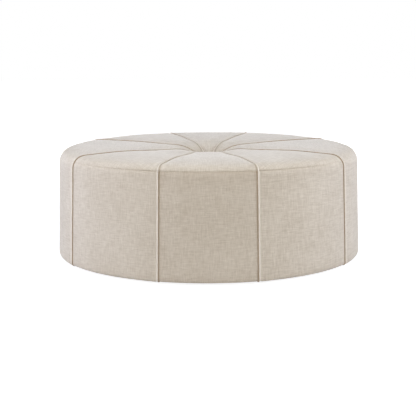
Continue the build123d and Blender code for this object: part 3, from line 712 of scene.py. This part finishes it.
# Painted shade in the tuft's hole, in the pleats' troughs and beside the welts near the tuft, with a mottle
# of painted shade there
HOLE_SHADE, PLEAT_SHADE, TUFT_SHADE, TUFT_SHADE_WIDTH, SHADE_MOTTLE, SHADE_MOTTLE_SIZE = 0.3, 0.7, 0.42, 6.0, 0.2, 7.0
# A pale band of painted highlight beside the welts, a way out from the tuft
PALE, PALE_DISTANCE, PALE_WIDTH = 0.17, 11, 7.0
# Painted shade at the hem, low on the walls, and over the front and back panels, more high up under their
# seam
HEM_SHADE, LOW_SHADE, FRONT_SHADE, HIGH_SHADE = 0.25, 0.07, 0.06, 0.13


def top_cover(name, seed):
    """A top panel: its plain and its shaped grid, its place on the cloth and its painted shading."""
    grid = panel_grid(name, TOP_ROWS, COLUMNS, SEWING_GAP / 2)
    run, from_seam = lengths(grid, 1), lengths(grid, 0)
    to_welt, reach = to_edges(run), np.hypot(grid[..., 0], grid[..., 1])
    calm, deep = smooth(reach, *CALM_REACH), smooth(reach, *DEEP_REACH)
    free = np.minimum(smooth(to_welt, 0, WELT_HOLD), smooth(from_seam, 0, SEAM_HOLD))
    free = free * smooth(reach, *LUMPS_REACH)
    pleats = gathers(grid, seed)
    dip, painted_shading = beside_welts(run, from_seam, name, seed, TOP_GROOVE_SHADE, TOP_PUFF)
    seam_dip, seam_shade = beside_seam(from_seam, run, grid, seed)
    lift = swelling("top", name, TOP_ROWS) + free * lumps(grid, seed, TOP_LUMPS)
    lift += pleats * smooth(to_welt, 0, 3) + calm * dip + seam_dip
    shaped = grid + lift[..., None] * normals(grid)
    shaped[..., 2] += settled(TOP_ROWS, grid)
    start, end = SPANS[name]
    turn = np.radians(fan(start, end, EDGE_SHIFT, COLUMNS)[0] - (start + end) / 2)
    out = from_seam[-1:, :] - from_seam + HOLE_RADIUS
    weave = np.stack([out * np.sin(turn), out * np.cos(turn), np.full_like(out, CLOTH_APART * seed)], -1)
    # Painted shade in the hole, along the plain seam, beside the welts near the tuft and in the pleats'
    # troughs, and a band of painted highlight beside the welts
    painted_shading = np.maximum(painted_shading, HOLE_SHADE * (1 - calm)) + seam_shade
    painted_shading -= PALE * bell(to_welt - PALE_DISTANCE, PALE_WIDTH) * smooth(reach, *PALE_REACH)
    painted_shading += deep * TUFT_SHADE * decay(to_welt, TUFT_SHADE_WIDTH)
    painted_shading += deep * SHADE_MOTTLE * rumple(grid, SHADE_MOTTLE_SIZE, seed + 6)
    painted_shading += PLEAT_SHADE * smooth(-pleats, 0.0, 1.4)
    return grid, shaped, weave, np.clip(painted_shading, -1, 1)


def side_cover(name, seed):
    """A side panel, given like a top panel."""
    grid = panel_grid(name, SIDE_ROWS, COLUMNS, -SEWING_GAP / 2)
    run, up = lengths(grid, 1), lengths(grid, 0)
    to_welt, to_seam = to_edges(run), up[-1:, :] - up
    from_bend = up - up[SIDE_ROWS.searchsorted(BEND)][None, :]
    free = np.minimum(smooth(to_welt, 0, WELT_HOLD), smooth(to_seam, 0, SEAM_HOLD))
    free = free * smooth(from_bend, *LUMPS_RISE)
    dip, painted_shading = beside_welts(run, up, name, seed, WALL_GROOVE_SHADE, WALL_PUFF)
    seam_dip, seam_shade = beside_seam(to_seam, run, grid, seed)
    pulls = rumple(grid * np.array([1, 1, 0.25]), PULL_SIZE, seed + 3) * smooth(from_bend, *PULLS_RISE)
    lift = swelling("side", name, SIDE_ROWS) + free * (lumps(grid, seed, WALL_LUMPS) + PULLS * pulls)
    lift += smooth(from_bend, *DIPS_RISE) * dip + seam_dip
    shaped = grid + lift[..., None] * normals(grid)
    middle_row = lengths(grid[len(SIDE_ROWS) // 2][None], 1)
    middle_column = up[:, [len(COLUMNS) // 2]]
    weave = np.stack([np.broadcast_to(middle_row, up.shape), np.broadcast_to(middle_column, up.shape),
                      np.full_like(up, CLOTH_APART * seed + 70)], -1)
    # Painted shade at the hem and low on the wall towards the floor, and on the front and back panels, more
    # high up under the seam
    painted_shading += seam_shade + HEM_SHADE * smooth(from_bend, 6, -4) + LOW_SHADE * smooth(from_bend, 60, 10)
    painted_shading += (FRONT_SHADE + HIGH_SHADE * smooth(to_seam, 90, 10)) * (name in ("front", "back"))
    return grid, shaped, weave, np.clip(painted_shading, -1, 1)


def flat_area(grid):
    a, b = grid[1:, 1:] - grid[:-1, :-1], grid[1:, :-1] - grid[:-1, 1:]
    return float(np.linalg.norm(np.cross(a, b), axis=-1).sum() / 2) * MM**2


def cut_size(grid):
    """Width and length of the rectangle that a panel is cut from."""
    return float(lengths(grid, 1)[:, -1].max()) * MM, float(lengths(grid, 0)[-1].max()) * MM


panels = {}
for index, name in enumerate(PANELS):
    for part, make in (("top", top_cover), ("side", side_cover)):
        plain, shaped, weave, painted_shading = make(name, index + 1 + len(PANELS) * (part == "side"))
        node = part + "_" + name
        piece = cloth_piece("panel_" + node, "cover_" + node, shaped, CLOTH, weave, painted_shading)
        panels[part, name] = (piece, cut_size(plain), flat_area(plain))

# Welts: a ridge of the cover's cloth folded over a cord, with a foot sewn in below it.
# A section runs over the ridge and back along the foot, in shares of half the width and of the height
RIDGE = np.array([-1.0, -0.97, -0.86, -0.66, -0.40, -0.13, 0.13, 0.40, 0.66, 0.86, 0.97, 1.0])
RIDGE_RISE = np.array([-0.5, 0.1, 0.45, 0.75, 0.93, 1.0, 1.0, 0.93, 0.75, 0.45, 0.1, -0.5])
FOOT, FOOT_RISE, FOOT_DEPTH = [0.9, -0.9], [-1.4, -1.4], CLOTH + 1.7
FOLD_LEAN, CORD_TURN, BIAS, RIDGE_CLOTH = 0.3, 9.5, 0.7, 5.0
section_across, section_rise = np.concatenate([RIDGE, FOOT]), np.concatenate([RIDGE_RISE, FOOT_RISE])
for index, name in enumerate(SEAM_NAMES):
    fold = -1.0 if index < 4 else 1.0
    leaning = RIDGE + fold * FOLD_LEAN * np.clip(RIDGE_RISE, 0, 1)
    insets = [-WELT_PROUD * rise for rise in RIDGE_RISE] + [FOOT_DEPTH] * len(FOOT)
    loops = np.stack([along(outline(SEAMS[index], side * WELT_WIDTH / 2, inset), WELT_ROWS)[:, 0]
                      for side, inset in zip([*leaning, *FOOT], insets)], axis=1)
    loops[..., 2] += settled(WELT_ROWS, loops)
    keel = loops[:, -len(FOOT):].mean(1, keepdims=True)
    run = lengths(loops, 0)
    tight = 0.03 * np.sin(2 * math.pi * run / CORD_TURN) + 0.035 * rumple(loops, 24.0, index + 20)
    tight = tight * smooth(run, 30, 60) * (section_rise > 0)
    loops = loops + (loops - keel) * tight[..., None]
    around, patch = section_across * RIDGE_CLOTH, np.full_like(run, 57.0 * index + 900)
    weave = np.stack([BIAS * (run + around), BIAS * (run - around), patch], -1)
    on_top = smooth(np.repeat(WELT_ROWS[:, None], loops.shape[1], 1), ROLL, CROWN)
    # Painted shade on the flank that the welt is folded towards, and a painted highlight on the other flank,
    # weaker on the top
    painted_shade = 0.9 * (1.0 + (TOP_GROOVE_SHADE[index] - 1.0) * on_top) * smooth(-section_rise, -1.02, -0.6)
    painted_shading = np.where(section_across * fold > 0, painted_shade, 0.4 * on_top - 1.0)
    piece = swept_piece("welt_ridge_" + name, "welt_" + name, loops, False, weave, painted_shading)

# Padding under the cover
TURN_STEP, BESIDE_SEAM = 2.5, (-2.6, -1.3, -0.6, 0, 0.6, 1.3, 2.6)
PINCH_WIDTH, PADDING_SLACK, PADDING_LUMP = 12.0, 0.5, 40.0


def padding_angles(start, end):
    """Angles from start to end, closer together beside the seams."""
    near = [seam + turn + k for seam in SEAMS for turn in (-360, 0) for k in BESIDE_SEAM]
    angles = np.concatenate([np.arange(start, end, TURN_STEP), [end], [a for a in near if start < a < end]])
    return np.unique(np.round(angles, 3))


def padding(node, angles, outer_rows, inner_rows, insets, closed, seed, pinch, shift=0.0):
    """A layer of padding swept round the oval: its outer face, then its inner one, then closed."""
    outer = outer_rows(outline(angles, shift, insets[0]))
    soft = PADDING_SLACK * rumple(outer, PADDING_LUMP, seed) - PADDING_SLACK
    soft -= pinch * bell(across_to_seam(outer), PINCH_WIDTH)
    outer = outer + soft[..., None] * normals(outer)
    inner = inner_rows(outline(angles, shift, insets[1]))
    loops = np.concatenate([outer, inner], axis=0).transpose(1, 0, 2)
    swept_piece("pad_" + node, node, loops, closed)


def wall_at(o, level):
    """The wall's line, or that line carried on, at a height."""
    low, high = along(o, [WALL, ROLL])
    share = (level - low[:, 2]) / (high[:, 2] - low[:, 2])
    return low + (high - low) * share[:, None]


OVER_ROWS = stations((ROLL, SEAM, 3), (SEAM, CROWN, 8), (CROWN, SHOULDER, 14), (SHOULDER, THROAT, 12))
WALL_LINES, BACK_LINES = 14, 6


def over_top(level, hole):
    """Rows from a height on the wall over the edge and the crown into the tuft."""
    def make(o):
        grid = along(o, OVER_ROWS)
        grid[..., 2] += settled(OVER_ROWS, grid)
        end = along(o, [THROAT])[0]
        flat = np.hypot(end[:, 0], end[:, 1])
        end[:, :2] *= (hole / flat)[:, None]
        end[:, 2] -= (flat - hole) * math.tan(SLOPE)
        start = wall_at(o, level)
        return np.concatenate([[start, (start + grid[0]) / 2], grid, [end]])

    return make


def on_wall(low, high):
    """Rows up the leaning wall."""
    return lambda o: np.stack([wall_at(o, level) for level in np.linspace(low, high, WALL_LINES)])


def upright(inset, high, low):
    """Rows straight down an inner oval."""
    def make(o):
        reach = oval_reach(o.c, o.s, o.shift, inset)
        return np.stack([place(o, reach, level) for level in np.linspace(high, low, BACK_LINES)])

    return make


def foam_floor(o):
    """Rows from the twine's hole out along the foam's flat underside."""
    edge = wall_at(o, FOAM_BOTTOM)
    run = np.hypot(edge[:, 0], edge[:, 1]) - TWINE_HOLE
    return np.stack([place(o, TWINE_HOLE + run * share, FOAM_BOTTOM) for share in (0, 0.25, 0.5, 0.75)])


def reversed_rows(make):
    return lambda o: make(o)[::-1]


WADDING_BOTTOM, HALF_APART, SEAM_PINCH = HEM_BOTTOM + BEND_RADIUS, 0.5, 2.0
wadding_insets, foam_insets = (WADDING_INSET, WADDING_INSET + WADDING), (FOAM_INSET, FOAM_INSET)
round_angles = padding_angles(0, 360)[:-1]
wadding_top, foam_top = over_top(FOAM_BOTTOM, HOLE_RADIUS), over_top(FOAM_BOTTOM, TWINE_HOLE)
wadding_wall, foam_wall = on_wall(WADDING_BOTTOM, DECK_TOP), on_wall(FRAME_BOTTOM, DECK_TOP)
foam_back = upright(BOARD_INSET - SOFT_GAP, DECK_TOP, FRAME_BOTTOM)
padding("top_wadding", round_angles, wadding_top, reversed_rows(wadding_top), wadding_insets, True,
        31, SEAM_PINCH)
padding("top_foam", round_angles, foam_top, foam_floor, foam_insets, True, 33, 0.0)
for half, start in (("front", -180), ("back", 0)):
    angles, shifts = fan(start, start + 180, HALF_APART, (padding_angles(start, start + 180) - start) / 180)
    padding("side_wadding_" + half, angles, wadding_wall, reversed_rows(wadding_wall), wadding_insets, False,
            35, SEAM_PINCH, shifts)
    padding("side_foam_" + half, angles, foam_wall, foam_back, foam_insets, False, 37, 0.0, shifts)

for part, name in panels:
    piece, flat, area = panels[part, name]

# Covered button: cloth drawn over a dome, pleated where it turns under
BUTTON_CLOTH, BUTTON_RINGS, BUTTON_TURNS = 1.2, 21, 128
BUTTON_PLEATS, BUTTON_PLEAT, BUTTON_RIPPLES, BUTTON_RIPPLE = 12, 0.35, 5, 0.12
BUTTON_PATCH = 2.0  # metres along the cloth to where the button's piece is cut


def button_profile(radius, rise):
    """Radii and heights from the dome's middle to its rim and back on the cloth's inner side."""
    dome = (radius**2 + rise**2) / (2 * rise)
    radii = radius * np.linspace(0, 1, BUTTON_RINGS + 1)[1:]
    heights = np.sqrt(dome**2 - radii**2) - (dome - rise)
    inner = heights - BUTTON_CLOTH * np.cos(np.arcsin(radii / dome))
    inner_radii = radii * (1 - BUTTON_CLOTH / radius)
    radii, heights = np.concatenate([radii, inner_radii[::-1]]), np.concatenate([heights, inner[::-1]])
    return radii[:, None], heights[:, None]


button_low, button_high = (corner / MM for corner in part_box("button_cover"))
radii, heights = button_profile(button_high.x, button_high.z - button_low.z)
turns = np.linspace(0, 2 * math.pi, BUTTON_TURNS + 1)[:-1]
pleat = BUTTON_PLEAT * smooth(radii, 12, 18.5) * (np.abs(np.sin(BUTTON_PLEATS * turns)) - 0.7)
pleat = np.minimum(pleat + BUTTON_RIPPLE * np.sin(BUTTON_RIPPLES * turns + radii), 0) * smooth(radii, 4, 9)
ring = np.stack([radii * np.cos(turns), radii * np.sin(turns),
                 button_low.z + np.maximum(heights, 0.0) + pleat], -1)[:, ::-1]
rows, cols = ring.shape[:2]
middles = [[0, 0, button_high.z], [0, 0, button_high.z - BUTTON_CLOTH]]
verts = np.concatenate([ring.reshape(-1, 3), middles])
faces = quads(rows, cols, wrap_cols=True)
inner_ring, middle = (rows - 1) * cols, rows * cols
faces += [[(j + 1) % cols, j, middle] for j in range(cols)]
faces += [[inner_ring + j, inner_ring + (j + 1) % cols, middle + 1] for j in range(cols)]
button = make_piece("tuft_button", "button_cover", verts, faces)
put_attribute(button, "weave", verts * MM + BUTTON_PATCH, "FLOAT_VECTOR")
# Painted shade round the button's pleated rim, where the cloth turns under
put_attribute(button, "painted_shading", 0.3 * smooth(np.hypot(verts[:, 0], verts[:, 1]), 15, 19))

# Dust cover: a black sheet stapled over the open base, a little slack between the rails
DUST_CLOTH, DUST_SAG, DUST_WAVE, DUST_DIMPLE = 0.8, 1.6, 0.6, 0.12
WAVE_SIZE, DIMPLE_SIZE = 120.0, 22.0
dust_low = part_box("dust_cover")[0] / MM
dust_form = outline(np.linspace(0, 360, 181))
dust_reach = oval_reach(dust_form.c, dust_form.s, dust_form.shift, DUST_INSET)
shares = np.concatenate([[0.02, 0.08], np.linspace(0.15, 0.85, 15), np.linspace(0.87, 1.0, 12)])[::-1]
dust = np.stack([place(dust_form, dust_reach * share, dust_low.z) for share in shares])
slack = smooth(np.broadcast_to(shares[:, None], dust.shape[:2]), 0.86, 0.5)
dimples = smooth(rumple(dust * np.array([1, 1, 0]), DIMPLE_SIZE, 43), 0.0, 0.6)
sag = DUST_SAG + DUST_WAVE * rumple(dust, WAVE_SIZE, 41)
dust[..., 2] -= slack * sag + (1 - slack) * DUST_DIMPLE * dimples
dust = dust[:, ::-1]
piece = cloth_piece("dust_sheet", "dust_cover", dust, DUST_CLOTH, dust, 0 * dust[..., 0])

# Tufting twine: three strands laid up together, in a loop from the button's eye round the toggle
TWINE_RADIUS, STRANDS, STRAND_RADIUS, STRAND_REACH, STRAND_SIDES = 0.8, 3, 0.37, 0.42, 8
LAY_LENGTH, TWINE_STEP = 9.0, 0.9
twine_low, twine_high = (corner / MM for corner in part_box("tufting_twine"))
half_gap = (twine_high.x - twine_low.x) / 2 - TWINE_RADIUS
bend_low, bend_high = twine_low.z + TWINE_RADIUS + half_gap, twine_high.z - TWINE_RADIUS - half_gap
run_up, arc_run = bend_high - bend_low, math.pi * half_gap
total_run = 2 * (run_up + arc_run)


def on_loop(run):
    """A point of the twine's middle line and its outward direction: up one side and round the bend.
    The loop's second half is the first one, turned half round."""
    second, run = divmod(run, run_up + arc_run)
    turn = max(run - run_up, 0.0) / half_gap
    out = np.array([math.cos(turn), 0.0, math.sin(turn)])
    point = half_gap * out + [0, 0, bend_low + min(run, run_up)]
    return ([0, 0, bend_low + bend_high] - point, -out) if second else (point, out)


def beside(middle, out, reach, turn):
    """A point at a distance from the twine's middle line, turned about it."""
    return middle + reach * (math.cos(turn) * out + math.sin(turn) * np.array([0, 1.0, 0]))


steps, lay_turns = int(total_run / TWINE_STEP), round(total_run / LAY_LENGTH)
sides = np.linspace(0, 2 * math.pi, STRAND_SIDES + 1)[:-1]
verts, faces = [], []
for strand in range(STRANDS):
    faces += [face[::-1] for face in quads(steps, STRAND_SIDES, len(verts), True, True)]
    for step in range(steps):
        middle, out = on_loop(total_run * step / steps)
        lay = 2 * math.pi * (lay_turns * step / steps + strand / STRANDS)
        centre = beside(middle, out, STRAND_REACH, lay)
        verts += [beside(centre, out, STRAND_RADIUS, side) for side in sides]
make_piece("tuft_twine", "tufting_twine", verts, faces)

# Camera: its place and the picture's centre as fitted to the photograph, and turns in radians
CAMERA_BACK, CAMERA_HEIGHT, FOCUS, SENSOR = 2996.1, 931.2, 756.1, 36.0
PITCH, YAW, ROLL_TURN = 0.2061, -0.0039, 0.0047
CENTRE_COLUMN, CENTRE_ROW, FRAME_PIXELS = 208.49, 178.0, 416
camera_place = Matrix.Translation((0, -CAMERA_BACK * MM, CAMERA_HEIGHT * MM))
aimed = Matrix.Rotation(math.pi / 2 - PITCH, 4, "X") @ Matrix.Rotation(-ROLL_TURN, 4, "Z")
camera_data = bpy.data.cameras.new("camera")
camera = put_in_scene("camera", camera_data)
camera.matrix_world = Matrix.Rotation(-YAW, 4, "Z") @ camera_place @ aimed
camera_data.sensor_width = SENSOR
camera_data.lens = FOCUS / FRAME_PIXELS * SENSOR
camera_data.shift_x = (FRAME_PIXELS / 2 - CENTRE_COLUMN) / FRAME_PIXELS
camera_data.shift_y = (CENTRE_ROW - FRAME_PIXELS / 2) / FRAME_PIXELS
camera_data.clip_end = 100
bpy.context.scene.camera = camera

# Floor and world: white to the camera, while the object gets grey from the floor and a faint warm sky
AMBIENT, AMBIENT_COLOR, WHITE = 0.05, (1.0, 0.8, 0.4, 1), (1, 1, 1, 1)
FLOOR_COLOR, SEEN_FLOOR_COLOR, FLOOR_GLOW = (0.6, 0.6, 0.6, 1), (0.35, 0.35, 0.35, 1), 0.88
GLOW_START, GLOW_END = 0.8, 1.8  # metres from the middle to where the floor's glow starts to rise and is full
FLOOR_REACH, FLOOR_LINES = 9000, 13


def finish_stage(tree, lighting, seen, output):
    """One shader lights the object, and camera, glossy and transmission rays meet the other."""
    rays = add_node(tree, "LightPath").outputs
    share = rays["Is Camera Ray"]
    for kind in ("Is Glossy Ray", "Is Transmission Ray"):
        share = add_node(tree, "Math", {0: share, 1: rays[kind]}, operation="MAXIMUM").outputs[0]
    both = add_node(tree, "MixShader", {0: share, 1: lighting.outputs[0], 2: seen.outputs[0]})
    add_node(tree, output, {"Surface": both.outputs[0]})


def empty_tree(owner):
    owner.use_nodes = True
    owner.node_tree.nodes.clear()
    return owner.node_tree


def floor_material():
    material = bpy.data.materials.new("studio_floor")
    tree = empty_tree(material)
    lit = add_node(tree, "BsdfDiffuse", {"Color": FLOOR_COLOR})
    shaded = add_node(tree, "BsdfDiffuse", {"Color": SEEN_FLOOR_COLOR})
    point = add_node(tree, "TexCoord").outputs["Object"]
    distance = add_node(tree, "VectorMath", {0: point}, operation="LENGTH").outputs["Value"]
    brightness = add_node(tree, "MapRange", {
        "Value": distance, "From Min": GLOW_START, "From Max": GLOW_END, "To Min": FLOOR_GLOW, "To Max": 1.0})
    glow = add_node(tree, "Emission", {"Color": WHITE, "Strength": brightness.outputs[0]})
    pale = add_node(tree, "AddShader", {0: shaded.outputs[0], 1: glow.outputs[0]})
    finish_stage(tree, lit, pale, "OutputMaterial")
    return material


def studio_world():
    world = bpy.data.worlds.new("studio")
    tree = empty_tree(world)
    ambient = add_node(tree, "Background", {"Color": AMBIENT_COLOR, "Strength": AMBIENT})
    white = add_node(tree, "Background", {"Color": WHITE, "Strength": 1.0})
    finish_stage(tree, ambient, white, "OutputWorld")
    return world


lines = np.linspace(-FLOOR_REACH, FLOOR_REACH, FLOOR_LINES)
floor_points = [[x, y, 0.0] for y in lines for x in lines]
floor = put_in_scene("studio_floor", new_mesh("studio_floor", floor_points, quads(FLOOR_LINES, FLOOR_LINES)))
floor.data.materials.append(floor_material())
bpy.context.scene.world = studio_world()

# Lamps: place, target and size in metres, power in watts, and colour
BODY_MIDDLE, WARM = (0, 0, 0.25), (1.0, 0.945, 0.86)
LAMPS = {
    "overhead": ((0, -1.0, 2.8), (0, -0.1, 0.4), 1.6, 43.5, (0.874, 0.927, 1.0)),
    "left_side": ((-3.1, -0.6, 1.4), BODY_MIDDLE, 1.6, 83, (0.80, 0.842, 1.0)),
    "right_side": ((3.1, -0.6, 1.4), BODY_MIDDLE, 1.6, 75.5, (0.83, 0.872, 1.0)),
    "front": ((0, -3.2, 1.0), BODY_MIDDLE, 1.2, 27.5, WARM),
    "back": ((0, 3.2, 0.35), (0, 0, 0.3), 0.6, 42, WARM),
}
for name, (position, target, size, power, color) in LAMPS.items():
    light = bpy.data.lights.new(name, "AREA")
    light.shape, light.size, light.energy, light.color = "SQUARE", size, power, color
    lamp = put_in_scene(name, light)
    lamp.location = position
    lamp.rotation_mode = "QUATERNION"
    lamp.rotation_quaternion = (Vector(target) - Vector(position)).to_track_quat("-Z", "Y")

bpy.context.scene.view_settings.view_transform = "Standard"
